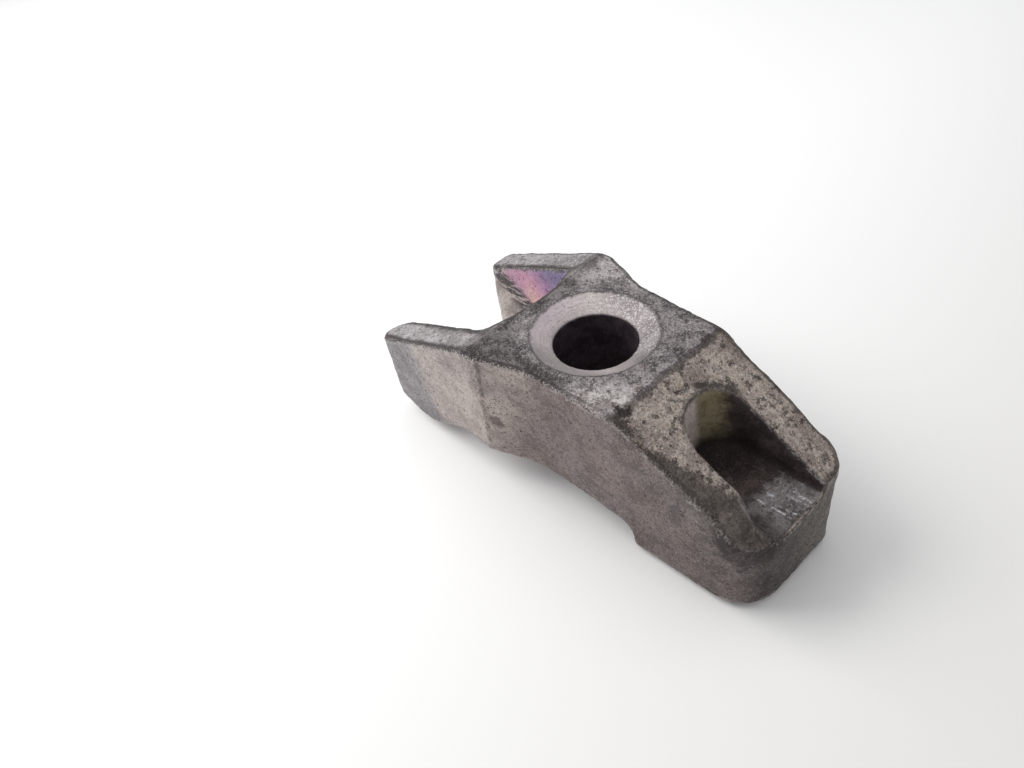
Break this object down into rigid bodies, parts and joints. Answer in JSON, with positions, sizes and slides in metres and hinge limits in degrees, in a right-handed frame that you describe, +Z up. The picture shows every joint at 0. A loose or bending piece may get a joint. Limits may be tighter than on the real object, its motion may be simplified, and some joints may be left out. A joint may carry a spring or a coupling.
{
  "type": "fuel injector clamp",
  "caption": "Forged steel hold-down clamp with a forked end, a bolt hole with a conical seat, an arched underside and a sloped tail with a pocket.",
  "frame": {"origin": "where the bolt's axis meets the level boss face", "axes": "+X from the bolt's axis towards the heel and tail, +Y across the clamp, +Z up along the bolt, towards its head"},
  "size_m": [0.0574, 0.0248, 0.0209],
  "materials": {
    "forged_steel": "satin forging skin with fine dark pits, soot and heat tints"
  },
  "bodies": {
    "root": {"clamp": "forged_steel"}
  },
  "joints": []
}
